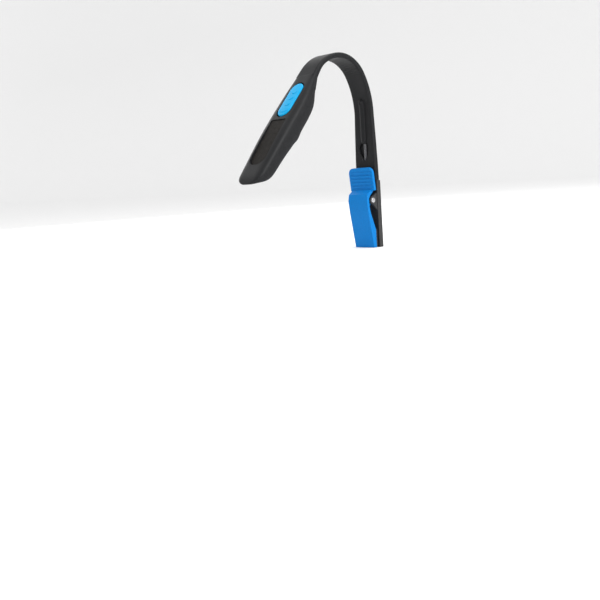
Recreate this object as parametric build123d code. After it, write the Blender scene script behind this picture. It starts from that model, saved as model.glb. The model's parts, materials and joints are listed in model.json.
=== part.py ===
from build123d import *
import math
import os

# Clip on reading lamp, in millimetres.
# X is the lamp's width, -Y points forward to the reader, +Z is up.
# The origin is where the two jaw pads meet. "Forward" below is a distance along -Y.

# ---- Clip body: upright frame with the fixed jaw ----
BODY_W = 22.0
PLATE_BACK = -5.4
PLATE_FRONT = -1.2
JAW_BOTTOM = -6.0
FRAME_TOP = 46.0
TONGUE_W = 14.0
TONGUE_T = 3.6
TONGUE_TOP = 61.0
CORE_FOOT = 50.0
EAR_T = 2.0
EAR_OUTER_X = 10.6
EAR_R = 3.1
EAR_ROOT_LOW = 22.0
EAR_ROOT_HIGH = 37.0
EAR_ROOT_DEPTH = 0.8

# ---- Pivot, pin and spring ----
PIVOT_FORWARD = 3.6
PIVOT_Z = 31.0
PIN_R = 1.25
PIN_CLEARANCE = 0.05
PIN_HEAD_R = 2.1
PIN_HEAD_T = 0.8
COIL_OUTER_R = 3.1
COIL_INNER_R = 2.2
COIL_W = 9.0
SPRING_WIRE_R = 0.45
SPRING_LEG_X = 4.0
REAR_LEG_TOP = (-0.72, 41.0)
FRONT_LEG_TOP = (0.78, 43.0)

# ---- Squeeze lever with the moving jaw ----
TAB_W = 24.8
TAB_FRONT = 5.5
TAB_T = 2.2
TAB_BOTTOM = 38.3
TAB_TOP = 56.2
TAB_LEAN = 6.3
TAB_CORNER_R = 4.5
RIDGE_COUNT = 6
RIDGE_PITCH = 2.7
RIDGE_H = 1.3
RIDGE_T = 0.5
RIDGE_TOP_MARGIN = 3.4
RIDGE_SIDE_MARGIN = 1.6
ARM_W = 20.0
ARM_OUTLINE = [
    (3.5, 39.6), (8.9, 35.8), (9.9, 31.0), (8.9, 22.0), (4.2, -6.0), (1.2, -6.0),
    (1.2, 8.0), (6.2, 21.5), (7.3, 27.0), (7.3, 32.3), (6.0, 34.6), (1.5, 38.4), (1.7, 40.0),
]
LEVER_EAR_R = 2.8
LEVER_EAR_T = 2.0
LEVER_EAR_OUTER_X = 8.2
LEVER_EAR_HIGH = (8.3, 34.0)
LEVER_EAR_LOW = (8.0, 24.0)

# ---- Jaw pads ----
PAD_T = 1.2
PAD_W = 18.0
PAD_BOTTOM = -5.0
PAD_TOP = 8.0
GROOVE_PITCH = 2.6
GROOVE_H = 0.8
GROOVE_DEPTH = 0.5

# ---- Leg: rubber cover over the frame's tongue ----
LEG_CENTRE = -3.0
LEG_FOOT_T = 4.8
LEG_WIDTHS = [(FRAME_TOP, 21.6), (58.0, 21.2), (76.0, 20.2)]
WINDOW_R = 4.6
WINDOW_CENTRE_Z = 69.6
WINDOW_TIP_Z = 62.0
WINDOW_FLOOR = -3.0
RIB_W = 5.5
RIB_PROUD = 1.3
RIB_FOOT = -22.5
RIB_TOP = 12.5
COIL_SLEEVE_R = 1.9
COIL_SLEEVE_FOOT = 61.3
COIL_SLEEVE_TOP = 76.0
SLEEVE_GAP = 0.05

# ---- Neck: flexible strap over a bendable core, arched over the reader's page ----
STRAP_W = 18.5
STRAP_T = 3.9
STRAP_EDGE_R = 1.7
CORE_R = 1.2
ARCH_START_Z = 97.2
ARCH_ARCS = [(60.0, 30.0), (26.5, 60.0), (32.0, 48.0)]
ARCH_TAIL = 14.5
FIRST_BEND = 15.0
BEND_PITCH = 22.0
BEND_COUNT = 4
KNUCKLE_GAP = 0.3

# ---- Head: battery, switch and light in two shells. Run is along the head from the shoulder ----
WALL = 1.5
HEAD_START = -8.0
HEAD_END = 92.0
HEAD_TOP = 2.0
HEAD_WIDTHS = [(HEAD_START, 19.4), (12.0, 25.8), (38.0, 28.0), (76.0, 25.6), (HEAD_END, 22.0)]
HEAD_TIP_R = 9.0
HEAD_UNDERSIDE = [
    (HEAD_START, -2.2), (-3.0, -4.6), (3.0, -6.9), (10.0, -10.2), (17.0, -12.2), (22.0, -12.7),
    (49.0, -12.7), (60.0, -11.5), (75.0, -11.4), (80.5, -9.8), (85.0, -7.2), (HEAD_END, -2.4),
]
CROWN = [
    (8.7, HEAD_TOP), (11.6, 1.0), (13.3, -1.0), (14.0, -4.2), (14.0, -8.8), (13.1, -11.4), (11.6, -12.7),
]
PARTING_LOW = -7.6
PARTING = [
    (1.0, -3.6), (10.0, -6.0), (20.0, -7.2), (75.0, PARTING_LOW), (82.0, -5.6), (HEAD_END + 2.0, -1.2),
]
CAVITY_START = -1.2
FERRULE_R = 1.6
FERRULE_RUN = (HEAD_START, -2.0)

# ---- Button ----
BUTTON_L = 31.6
BUTTON_W = 13.6
BUTTON_CENTRE = 16.2
BUTTON_PROUD = 0.9
BUTTON_GAP = 0.5
BUTTON_FLANGE = (2.6, 33.4)
BUTTON_FLANGE_W = 16.4
FLANGE_TOP = 0.4
FLANGE_BOTTOM = -0.4
BAR_COUNT = 3
BAR_PITCH = 5.6
BAR_R = 5.0
BAR_T = 0.9
BAR_PROUD = 0.35

# ---- Grip inlay, sunk into the head beyond the button ----
INLAY_START = 34.8
INLAY_END = 75.0
INLAY_START_W = 15.4
INLAY_END_W = 17.0
INLAY_TOP = 1.3
INLAY_T = 0.7
INLAY_GAP = 0.1

# ---- Electronics ----
BOARD_RUN = (11.0, 84.0)
BOARD_W = 16.0
BOARD_TOP = -3.0
BOARD_T = 1.0
SWITCH_SIZE = 6.0
SWITCH_T = 1.5
SWITCH_CAP_R = 1.5
SWITCH_CAP_T = 0.4
CELL_R = 10.0
CELL_T = 3.2
CELL_CENTRE = 34.5
CELL_TOP = -4.6
LEAF_T = 0.3
LEAF_W = 6.0
LEAF_TOP_L = 14.0
RIM_CLIP_W = 5.0
RIM_CLIP_T = 0.4
RIM_CLIP_GAP = 0.1
LED_CENTRE = 68.0
LED_R = 2.5
LED_SIZE = 5.0
LED_BASE_T = 0.8
REFLECTOR_TOP_R = 3.0
REFLECTOR_R = 7.6
REFLECTOR_WALL = 0.8
REFLECTOR_BOTTOM = -9.7
LENS_R = 8.6
LENS_T = 1.4
LENS_GAP = 0.05
RESISTOR_L = 2.0
RESISTOR_W = 1.2
RESISTOR_T = 0.6
RESISTOR_RUNS = (50.0, 54.0)

# ---- Battery door, hinged at its end nearest the neck ----
DOOR_HINGE_RUN = 23.4
DOOR_END = 48.0
DOOR_W = 20.8
DOOR_TOP = -11.1
DOOR_T = 1.5
DOOR_GAP = 0.3
DOOR_BARREL_GAP = 0.35
LIP_RUN = (39.5, 47.0)
LIP_W = 18.0
LIP_PROUD = 1.3
STUB_R = 0.5
STUB_L = 1.0
STUB_CLEARANCE = 0.06
WELL_R = CELL_R + 0.3
WELL_WALL = 0.9
WELL_WEB_L = 6.0

# ---- Screws that close the head ----
SCREW_ROWS = [(53.6, 9.0, -10.8), (80.2, 6.6, -8.2)]
SCREW_PLACES = [(run, side * across, low) for run, across, low in SCREW_ROWS for side in (1, -1)]
SCREW_R = 0.95
SCREW_HEAD_R = 1.9
SCREW_HEAD_T = 1.4
SCREW_TIP = -2.4
BOSS_R = 2.4
BOSS_TOP = 0.6

SIDE = Plane(origin=(0, 0, 0), x_dir=(0, -1, 0), z_dir=(-1, 0, 0))
FRONT = Plane(origin=(0, 0, 0), x_dir=(1, 0, 0), z_dir=(0, -1, 0))
FAR = 60.0


def place(forward, up, across=0.0):
    """A point of the lamp from its forward, up and across distances."""
    return Vector(across, -forward, up)


def side_slab(points, width, centre_x=0.0):
    """A slab across X from its outline in forward and up distances."""
    outline = make_face(Polyline(*points, close=True))
    return Pos(centre_x, 0, 0) * extrude(SIDE * outline, amount=width / 2, both=True)


def front_slab(outline, back, front):
    """A slab from back to front, from an outline in X and Z."""
    return extrude(FRONT.offset(back) * outline, amount=front - back)


def box_between(low, high):
    """A block between two opposite corners."""
    size = [b - a for a, b in zip(low, high)]
    centre = [(a + b) / 2 for a, b in zip(low, high)]
    return Pos(*centre) * Box(*size)


def cross_cylinder(radius, length, forward, up, centre_x=0.0):
    """A cylinder whose axis runs across the lamp."""
    return Pos(centre_x, -forward, up) * Rot(0, 90, 0) * Cylinder(radius, length)


def rod(start, end, radius):
    """A straight round rod between two points."""
    axis = end - start
    return Plane(origin=(start + end) / 2, z_dir=axis) * Cylinder(radius, axis.length)


def mirrored_outline(stations):
    """A closed outline, symmetrical about its own X axis, from (run, full width) stations."""
    right = [(run, width / 2) for run, width in stations]
    left = [(run, -width / 2) for run, width in reversed(stations)]
    return make_face(Polyline(*(right + left), close=True))


def ear(radius, thickness, centre_x, roots):
    """A flat ear round the pivot, joined to its part between two root points."""
    high, low = roots
    web = make_face(Polyline(
        high, low, (PIVOT_FORWARD, PIVOT_Z - radius), (PIVOT_FORWARD, PIVOT_Z + radius), close=True
    ))
    profile = web + Pos(PIVOT_FORWARD, PIVOT_Z) * Circle(radius)
    return Pos(centre_x, 0, 0) * extrude(SIDE * profile, amount=thickness / 2, both=True)


# ---- The neck's centreline ----

def arch_state(run):
    """Forward and up distance and lean from vertical, at a length along the neck's centreline."""
    forward = LEG_CENTRE
    up = ARCH_START_Z
    lean = 0.0
    left = run
    if run < 0:
        return forward, up + run, lean
    for radius, turn in ARCH_ARCS:
        part = min(math.radians(turn), left / radius)
        forward += radius * (math.cos(lean) - math.cos(lean + part))
        up += radius * (math.sin(lean + part) - math.sin(lean))
        lean += part
        left -= part * radius
    return forward + left * math.sin(lean), up + left * math.cos(lean), lean


def arch_point(run):
    forward, up, _ = arch_state(run)
    return place(forward, up)


def arch_plane(run):
    """The strap's section plane: local X across the lamp, local Y outwards from the arch."""
    forward, up, lean = arch_state(run)
    return Plane(origin=place(forward, up), x_dir=(1, 0, 0), z_dir=(0, -math.sin(lean), math.cos(lean)))


def arch_path(start, end):
    """The centreline between two lengths, as straight runs and arcs."""
    breaks = [0.0]
    for radius, turn in ARCH_ARCS:
        breaks.append(breaks[-1] + radius * math.radians(turn))
    stops = [start] + [b for b in breaks if start < b < end] + [end]
    edges = []
    for first, last in zip(stops, stops[1:]):
        straight = last <= breaks[0] or first >= breaks[-1]
        if straight:
            edges.append(Line(arch_point(first), arch_point(last)))
        else:
            middle = arch_point((first + last) / 2)
            edges.append(ThreePointArc(arch_point(first), middle, arch_point(last)))
    return Wire(edges)


def along_arch(section, start, end):
    """A section, drawn about the centreline, carried along it."""
    return sweep(arch_plane(start) * section, path=arch_path(start, end))


def knuckle(run, gap=0.0, width=STRAP_W - 2 * STRAP_EDGE_R):
    forward, up, _ = arch_state(run)
    return cross_cylinder(STRAP_T / 2 + gap, width, forward, up)


def socket(run):
    """The round hollow in the strap that the next piece's knuckle turns in."""
    return knuckle(run, KNUCKLE_GAP, STRAP_W + 2.0)


BENDS = [FIRST_BEND + BEND_PITCH * i for i in range(BEND_COUNT)]
ARCH_LENGTH = ARCH_TAIL + sum(radius * math.radians(turn) for radius, turn in ARCH_ARCS)
SHOULDER = arch_plane(ARCH_LENGTH)
# The head's own frame: local X along the head, local Y across the lamp, local Z out of its top face.
HEAD = Plane(origin=SHOULDER.origin, x_dir=SHOULDER.z_dir, z_dir=SHOULDER.y_dir)
HEAD_SIDE = Plane(origin=(0, 0, 0), x_dir=(1, 0, 0), z_dir=(0, -1, 0))
HEAD_ACROSS = Plane(origin=(0, 0, 0), x_dir=(0, 1, 0), z_dir=(1, 0, 0))

parts = {}


def keep(name, shape):
    parts[name] = shape


# ---- Clip body ----

def frame_ears():
    centre_x = EAR_OUTER_X - EAR_T / 2
    depth = PLATE_FRONT - EAR_ROOT_DEPTH
    roots = ((depth, EAR_ROOT_HIGH), (depth, EAR_ROOT_LOW))
    return [ear(EAR_R, EAR_T, side * centre_x, roots) for side in (-1, 1)]


def base_frame():
    """The rigid insert: fixed jaw, upright plate, pivot ears and the tongue inside the leg."""
    plate = box_between((-BODY_W / 2, -PLATE_FRONT, JAW_BOTTOM), (BODY_W / 2, -PLATE_BACK, FRAME_TOP))
    tongue = box_between(
        (-TONGUE_W / 2, -LEG_CENTRE - TONGUE_T / 2, FRAME_TOP - 1.0),
        (TONGUE_W / 2, -LEG_CENTRE + TONGUE_T / 2, TONGUE_TOP),
    )
    body = plate + tongue
    for side_ear in frame_ears():
        body += side_ear
    body -= cross_cylinder(PIN_R, BODY_W + 2, PIVOT_FORWARD, PIVOT_Z)
    return body - rod(place(LEG_CENTRE, CORE_FOOT), place(LEG_CENTRE, TONGUE_TOP + 1), CORE_R)


def leg_outline():
    stations = LEG_WIDTHS + [(ARCH_START_Z, STRAP_W)]
    return Rot(0, 0, 90) * mirrored_outline(stations)


def leg_body():
    half_foot = LEG_FOOT_T / 2
    half_top = STRAP_T / 2
    profile = [
        (LEG_CENTRE - half_foot, FRAME_TOP), (LEG_CENTRE + half_foot, FRAME_TOP),
        (LEG_CENTRE + half_foot, TONGUE_TOP), (LEG_CENTRE + half_top, ARCH_START_Z),
        (LEG_CENTRE - half_top, ARCH_START_Z), (LEG_CENTRE - half_foot, TONGUE_TOP),
    ]
    depth = LEG_FOOT_T
    return side_slab(profile, BODY_W + 2) & front_slab(leg_outline(), LEG_CENTRE - depth, LEG_CENTRE + depth)


def window():
    """The teardrop hollow that shows the coil sleeve."""
    drop = WINDOW_CENTRE_Z - WINDOW_TIP_Z
    sine = WINDOW_R / drop
    half = WINDOW_R * math.sqrt(1 - sine * sine)
    low = WINDOW_CENTRE_Z - WINDOW_R * sine
    corners = [(0, WINDOW_TIP_Z), (half, low), (0, WINDOW_CENTRE_Z), (-half, low)]
    point = make_face(Polyline(*corners, close=True))
    outline = point + Pos(0, WINDOW_CENTRE_Z) * Circle(WINDOW_R)
    return front_slab(outline, WINDOW_FLOOR, LEG_FOOT_T)


def base_overmould():
    """Soft cover of the leg, with its raised rib, up to the first bend."""
    first = BENDS[0]
    leg = leg_body()
    rib_section = Pos(0, -STRAP_T / 2) * Ellipse(RIB_W / 2, RIB_PROUD)
    cover = leg + along_arch(RectangleRounded(STRAP_W, STRAP_T, STRAP_EDGE_R), 0.0, first)
    cover += along_arch(rib_section, RIB_FOOT, RIB_TOP)
    cover -= window()
    cover -= socket(first)
    cover -= parts["base_frame"]
    sleeve_foot = place(LEG_CENTRE, TONGUE_TOP)
    sleeve_top = place(LEG_CENTRE, COIL_SLEEVE_TOP)
    cover -= rod(sleeve_foot, sleeve_top, COIL_SLEEVE_R + SLEEVE_GAP)
    return cover - leg_core()


def leg_core():
    """The bendable core's foot, set into the frame's tongue."""
    straight = rod(place(LEG_CENTRE, CORE_FOOT), place(LEG_CENTRE, ARCH_START_Z), CORE_R)
    curved = along_arch(Circle(CORE_R), 0.0, BENDS[0])
    return straight + curved - socket(BENDS[0])


def strain_spring():
    """Close wound sleeve that spreads the core's bend where it leaves the frame."""
    start = place(LEG_CENTRE, COIL_SLEEVE_FOOT)
    end = place(LEG_CENTRE, COIL_SLEEVE_TOP)
    return rod(start, end, COIL_SLEEVE_R) - rod(start, end, CORE_R)


def pivot_pin():
    shank = cross_cylinder(PIN_R, 2 * EAR_OUTER_X, PIVOT_FORWARD, PIVOT_Z)
    pin = shank
    for side in (-1, 1):
        centre_x = side * (EAR_OUTER_X + PIN_HEAD_T / 2)
        pin += cross_cylinder(PIN_HEAD_R, PIN_HEAD_T, PIVOT_FORWARD, PIVOT_Z, centre_x)
    return pin


def torsion_spring():
    coil = cross_cylinder(COIL_OUTER_R, COIL_W, PIVOT_FORWARD, PIVOT_Z)
    coil -= cross_cylinder(COIL_INNER_R, COIL_W, PIVOT_FORWARD, PIVOT_Z)
    middle_r = (COIL_OUTER_R + COIL_INNER_R) / 2
    rear_foot = place(PIVOT_FORWARD - middle_r, PIVOT_Z, SPRING_LEG_X)
    front_foot = place(PIVOT_FORWARD - middle_r, PIVOT_Z, -SPRING_LEG_X)
    coil += rod(rear_foot, place(*REAR_LEG_TOP, SPRING_LEG_X), SPRING_WIRE_R)
    coil += rod(front_foot, place(*FRONT_LEG_TOP, -SPRING_LEG_X), SPRING_WIRE_R)
    return coil


# ---- Squeeze lever ----

def leaned(shape):
    """Leans a shape forwards about the tab's top front edge."""
    top_edge = Axis(place(TAB_FRONT, TAB_TOP), (1, 0, 0))
    return shape.rotate(top_edge, TAB_LEAN)


def tab():
    height = TAB_TOP - TAB_BOTTOM
    outline = Pos(0, TAB_BOTTOM + height / 2) * Rectangle(TAB_W, height)
    top_corners = outline.vertices().group_by(Axis.Y)[-1]
    rounded = fillet(top_corners, TAB_CORNER_R)
    return leaned(front_slab(rounded, TAB_FRONT - TAB_T, TAB_FRONT))


def tab_ridges():
    half = TAB_W / 2 - RIDGE_SIDE_MARGIN
    bars = []
    for i in range(RIDGE_COUNT):
        top = TAB_TOP - RIDGE_TOP_MARGIN - i * RIDGE_PITCH
        near = (-half, -TAB_FRONT - RIDGE_T, top - RIDGE_H)
        far = (half, -TAB_FRONT, top)
        bars.append(leaned(box_between(near, far)))
    return bars


def clip_lever():
    lever = tab() + side_slab(ARM_OUTLINE, ARM_W)
    centre_x = LEVER_EAR_OUTER_X - LEVER_EAR_T / 2
    for side in (-1, 1):
        lever += ear(LEVER_EAR_R, LEVER_EAR_T, side * centre_x, (LEVER_EAR_HIGH, LEVER_EAR_LOW))
    for bar in tab_ridges():
        lever += bar
    return lever - cross_cylinder(PIN_R + PIN_CLEARANCE, BODY_W + 2, PIVOT_FORWARD, PIVOT_Z)


def jaw_pad(back, front, face):
    """A rubber pad with grooves across its gripping face."""
    pad = box_between((-PAD_W / 2, -front, PAD_BOTTOM), (PAD_W / 2, -back, PAD_TOP))
    groove_count = int((PAD_TOP - PAD_BOTTOM) / GROOVE_PITCH)
    for i in range(groove_count):
        low = PAD_BOTTOM + GROOVE_PITCH * (i + 0.5)
        near = (-PAD_W, -face - GROOVE_DEPTH, low)
        far = (PAD_W, -face + GROOVE_DEPTH, low + GROOVE_H)
        pad -= box_between(near, far)
    return pad


# ---- Neck ----

def neck_piece(index):
    """One length of strap and its core, from one bend to the next."""
    start = BENDS[index]
    last = index + 1 == BEND_COUNT
    end = ARCH_LENGTH + HEAD_START if last else BENDS[index + 1]
    sleeve = along_arch(RectangleRounded(STRAP_W, STRAP_T, STRAP_EDGE_R), start, end) + knuckle(start)
    core_end = ARCH_LENGTH + FERRULE_RUN[1] if last else end
    core = along_arch(Circle(CORE_R), start, core_end)
    if not last:
        sleeve -= socket(end)
        core -= socket(end)
    return sleeve - core, core


# ---- Head shells ----

def head_block(low, high):
    """A block in the head's own frame, from (run, across, out) corners."""
    return box_between(low, high)


def head_slab(points, half_width):
    """A slab across the head from its outline in run and out distances."""
    outline = make_face(Polyline(*points, close=True))
    return extrude(HEAD_SIDE * outline, amount=half_width, both=True)


def head_disc(run, across, low, high, radius):
    return Pos(run, across, (low + high) / 2) * Cylinder(radius, high - low)


def head_form(inset):
    """The head's whole outer form, or the same form drawn in by a wall thickness."""
    plan = mirrored_outline(HEAD_WIDTHS)
    tip_corners = plan.vertices().group_by(Axis.X)[-1]
    plan = fillet(tip_corners, HEAD_TIP_R)
    side = make_face(Polyline((HEAD_START, HEAD_TOP), *HEAD_UNDERSIDE, (HEAD_END, HEAD_TOP), close=True))
    left = [(-across, out) for across, out in reversed(CROWN)]
    section = make_face(Polyline(*(CROWN + left), close=True))
    if inset:
        plan = offset(plan, amount=-inset, kind=Kind.INTERSECTION)
        side = offset(side, amount=-inset, kind=Kind.INTERSECTION)
        section = offset(section, amount=-inset, kind=Kind.INTERSECTION)
    tall = extrude(plan, amount=FAR, both=True)
    wide = extrude(HEAD_SIDE * side, amount=FAR, both=True)
    long = extrude(HEAD_ACROSS * section, amount=2 * FAR, both=True)
    return tall & wide & long


def below_parting():
    """Everything on the lower shell's side of the parting line."""
    start, end = PARTING[0], PARTING[-1]
    return head_slab([(start[0], -FAR), *PARTING, (end[0], -FAR)], FAR)


def cavity():
    return head_form(WALL) & head_block((CAVITY_START, -FAR, -FAR), (HEAD_END, FAR, FAR))


def stadium(length, width, centre, low, high):
    outline = Pos(centre, 0) * SlotOverall(length, width)
    return Pos(0, 0, low) * extrude(outline, amount=high - low)


def inlay_outline(grow=0.0):
    start = (INLAY_START - grow, INLAY_START_W + 2 * grow)
    end = (INLAY_END + grow, INLAY_END_W + 2 * grow)
    shape = mirrored_outline([start, end])
    far_corners = shape.vertices().group_by(Axis.X)[-1]
    return fillet(far_corners, INLAY_END_W / 2 - 1.0)


def screw(run, across, low, grow=0.0):
    """A closing screw, whose head faces out of the underside."""
    shank = head_disc(run, across, low, SCREW_TIP, SCREW_R + grow)
    return shank + head_disc(run, across, low, low + SCREW_HEAD_T, SCREW_HEAD_R + grow)


def screw_recess(run, across, low):
    return head_disc(run, across, -FAR, low, SCREW_HEAD_R)


def screw_boss(run, across, low, high):
    return head_disc(run, across, low, high, BOSS_R)


def head_cover():
    """Upper shell: top face, sides, button window, inlay pocket and screw bosses."""
    shell = head_form(0.0) - cavity() - below_parting()
    upper_bosses = [screw_boss(run, across, BOARD_TOP, BOSS_TOP) for run, across, _ in SCREW_PLACES]
    for boss in upper_bosses:
        shell += boss
    pocket = extrude(inlay_outline(INLAY_GAP), amount=FAR)
    shell -= Pos(0, 0, INLAY_TOP - INLAY_T) * pocket
    window_l = BUTTON_L + 2 * BUTTON_GAP
    window_w = BUTTON_W + 2 * BUTTON_GAP
    shell -= stadium(window_l, window_w, BUTTON_CENTRE, -WALL, FAR)
    for spot in SCREW_PLACES:
        shell -= screw(*spot)
    shell -= rod(Vector(HEAD_START - 1, 0, 0), Vector(FERRULE_RUN[1], 0, 0), FERRULE_R)
    return shell


def door_opening():
    half = DOOR_W / 2 + DOOR_GAP
    start = DOOR_HINGE_RUN - DOOR_T / 2 - DOOR_BARREL_GAP
    return head_block((start, -half, -FAR), (DOOR_END + DOOR_GAP, half, DOOR_TOP + DOOR_GAP))


def door_hinge_bar(radius, length):
    """A round bar on the door's hinge line."""
    return Pos(DOOR_HINGE_RUN, 0, DOOR_TOP - DOOR_T / 2) * Rot(90, 0, 0) * Cylinder(radius, length)


def well_webs():
    """Ribs that tie the battery well to the shell's sides."""
    low = DOOR_TOP + DOOR_GAP
    high = PARTING_LOW - DOOR_GAP
    half = WELL_WEB_L / 2
    return head_block((CELL_CENTRE - half, -FAR, low), (CELL_CENTRE + half, FAR, high))


def head_base():
    """Lower shell: battery well, light opening and the screw pillars."""
    shell = (head_form(0.0) - cavity()) & below_parting()
    well_low = DOOR_TOP + DOOR_GAP
    well = head_disc(CELL_CENTRE, 0, well_low, CELL_TOP, WELL_R + WELL_WALL)
    pillars = [screw_boss(run, across, low, BOARD_TOP - BOARD_T) for run, across, low in SCREW_PLACES]
    shell += well
    shell += well_webs()
    for pillar in pillars:
        shell += pillar
    shell = shell & head_form(0.0)
    shell -= head_disc(CELL_CENTRE, 0, -FAR, FAR, WELL_R)
    shell -= rim_clip(RIM_CLIP_GAP)
    shell -= door_opening()
    shell -= door_hinge_bar(STUB_R + STUB_CLEARANCE, DOOR_W + 2 * STUB_L + DOOR_GAP)
    shell -= head_disc(LED_CENTRE, 0, -FAR, FAR, LENS_R + LENS_GAP)
    for spot in SCREW_PLACES:
        shell -= screw(*spot, PIN_CLEARANCE)
        shell -= screw_recess(*spot)
    return shell


# ---- Head fittings ----

def power_button():
    cap = stadium(BUTTON_L, BUTTON_W, BUTTON_CENTRE, FLANGE_BOTTOM, HEAD_TOP + BUTTON_PROUD)
    start, end = BUTTON_FLANGE
    flange_half = BUTTON_FLANGE_W / 2
    flange = head_block((start, -flange_half, FLANGE_BOTTOM), (end, flange_half, FLANGE_TOP))
    button = cap + (flange & cavity())
    top = HEAD_TOP + BUTTON_PROUD
    for i in range(BAR_COUNT):
        centre = BUTTON_CENTRE + (i - (BAR_COUNT - 1) / 2) * BAR_PITCH
        ring = head_disc(centre - BAR_R, 0, top, top + BAR_PROUD, BAR_R)
        ring -= head_disc(centre - BAR_R, 0, top, top + BAR_PROUD, BAR_R - BAR_T)
        half = BUTTON_W / 2 - BAR_T
        button += ring & head_block((centre - BAR_R / 2, -half, top), (centre + BAR_R, half, FAR))
    return button


def grip_inlay():
    return Pos(0, 0, INLAY_TOP - INLAY_T) * extrude(inlay_outline(), amount=INLAY_T)


def core_ferrule():
    start = Vector(FERRULE_RUN[0], 0, 0)
    end = Vector(FERRULE_RUN[1], 0, 0)
    return rod(start, end, FERRULE_R) - rod(start, end, CORE_R)


def circuit_board():
    start, end = BOARD_RUN
    half = BOARD_W / 2
    board = head_block((start, -half, BOARD_TOP - BOARD_T), (end, half, BOARD_TOP))
    for run, across, _ in SCREW_PLACES:
        board -= head_disc(run, across, -FAR, FAR, BOSS_R + PIN_CLEARANCE)
    return board


def tact_switch():
    half = SWITCH_SIZE / 2
    body_top = BOARD_TOP + SWITCH_T
    body = head_block((BUTTON_CENTRE - half, -half, BOARD_TOP), (BUTTON_CENTRE + half, half, body_top))
    return body + head_disc(BUTTON_CENTRE, 0, body_top, body_top + SWITCH_CAP_T, SWITCH_CAP_R)


def resistors():
    half = RESISTOR_W / 2
    chips = []
    for run in RESISTOR_RUNS:
        chip_top = BOARD_TOP + RESISTOR_T
        chips.append(head_block((run, -half, BOARD_TOP), (run + RESISTOR_L, half, chip_top)))
    return Compound(children=chips)


def led():
    under = BOARD_TOP - BOARD_T
    half = LED_SIZE / 2
    base = head_block((LED_CENTRE - half, -half, under - LED_BASE_T), (LED_CENTRE + half, half, under))
    dome = Pos(LED_CENTRE, 0, under - LED_BASE_T) * Sphere(LED_R - PIN_CLEARANCE)
    lower = head_block((LED_CENTRE - half, -half, -FAR), (LED_CENTRE + half, half, under - LED_BASE_T))
    return base + (dome & lower)


def reflector():
    top = BOARD_TOP - BOARD_T - LED_BASE_T
    depth = top - REFLECTOR_BOTTOM
    cup = Pos(LED_CENTRE, 0, REFLECTOR_BOTTOM + depth / 2)
    outer = cup * Cone(REFLECTOR_R, REFLECTOR_TOP_R + REFLECTOR_WALL, depth)
    inner = cup * Cone(REFLECTOR_R - REFLECTOR_WALL, REFLECTOR_TOP_R, depth)
    return outer - inner


def lens():
    return head_disc(LED_CENTRE, 0, REFLECTOR_BOTTOM - LENS_T, REFLECTOR_BOTTOM, LENS_R)


def coin_cell(top):
    return head_disc(CELL_CENTRE, 0, top - CELL_T, top, CELL_R)


def contact_leaf():
    """Sprung leaf between the board and the inner cell."""
    start = CELL_CENTRE - LEAF_TOP_L / 2
    half = LEAF_W / 2
    flat = head_block((start, -half, CELL_TOP), (start + LEAF_TOP_L, half, CELL_TOP + LEAF_T))
    foot = head_block((start, -half, CELL_TOP), (start + LEAF_T, half, BOARD_TOP - BOARD_T))
    return flat + foot


def rim_clip(grow=0.0):
    """Upright contact that bears on the outer cell's rim."""
    inner = CELL_CENTRE + CELL_R + RIM_CLIP_GAP
    low = CELL_TOP - 2 * CELL_T
    half = RIM_CLIP_W / 2 + grow
    outer = inner + RIM_CLIP_T
    return head_block((inner - grow, -half, low - grow), (outer + grow, half, BOARD_TOP - BOARD_T))


def battery_door():
    """Flap with a round hinge edge, two hinge stubs and a fingernail lip."""
    bottom = DOOR_TOP - DOOR_T
    plate = head_block((DOOR_HINGE_RUN, -DOOR_W / 2, bottom), (DOOR_END, DOOR_W / 2, DOOR_TOP))
    middle = sum(LIP_RUN) / 2
    lip_outline = [(LIP_RUN[0], bottom), (middle, bottom - LIP_PROUD), (LIP_RUN[1], bottom)]
    lip = head_slab(lip_outline, LIP_W / 2)
    barrel = door_hinge_bar(DOOR_T / 2, DOOR_W)
    stubs = door_hinge_bar(STUB_R, DOOR_W + 2 * STUB_L)
    return plate + lip + barrel + stubs


def head_screws():
    return Compound(children=[screw(*spot) for spot in SCREW_PLACES])


# ---- The whole lamp ----

keep("base_frame", base_frame())
keep("base_overmould", base_overmould())
keep("neck_core_0", leg_core())
keep("strain_spring", strain_spring())
keep("pivot_pin", pivot_pin())
keep("torsion_spring", torsion_spring())
keep("clip_lever", clip_lever())
keep("rear_jaw_pad", jaw_pad(-PAD_T, 0.0, 0.0))
keep("front_jaw_pad", jaw_pad(0.0, PAD_T, 0.0))
for number in range(BEND_COUNT):
    sleeve_solid, core_solid = neck_piece(number)
    keep(f"neck_sleeve_{number + 1}", sleeve_solid)
    keep(f"neck_core_{number + 1}", core_solid)

head_parts = {
    "head_cover": head_cover(),
    "head_base": head_base(),
    "power_button": power_button(),
    "grip_inlay": grip_inlay(),
    "core_ferrule": core_ferrule(),
    "circuit_board": circuit_board(),
    "tact_switch": tact_switch(),
    "resistors": resistors(),
    "led": led(),
    "reflector": reflector(),
    "lens": lens(),
    "coin_cell_inner": coin_cell(CELL_TOP),
    "coin_cell_outer": coin_cell(CELL_TOP - CELL_T),
    "contact_leaf": contact_leaf(),
    "contact_rim": rim_clip(),
    "battery_door": battery_door(),
    "head_screws": head_screws(),
}
for name, shape in head_parts.items():
    keep(name, HEAD.location * shape)

os.makedirs("parts", exist_ok=True)
for name, shape in parts.items():
    export_step(shape, f"parts/{name}.step")
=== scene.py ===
import json
import math

import bmesh
import bpy
from mathutils import Matrix, Vector


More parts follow.
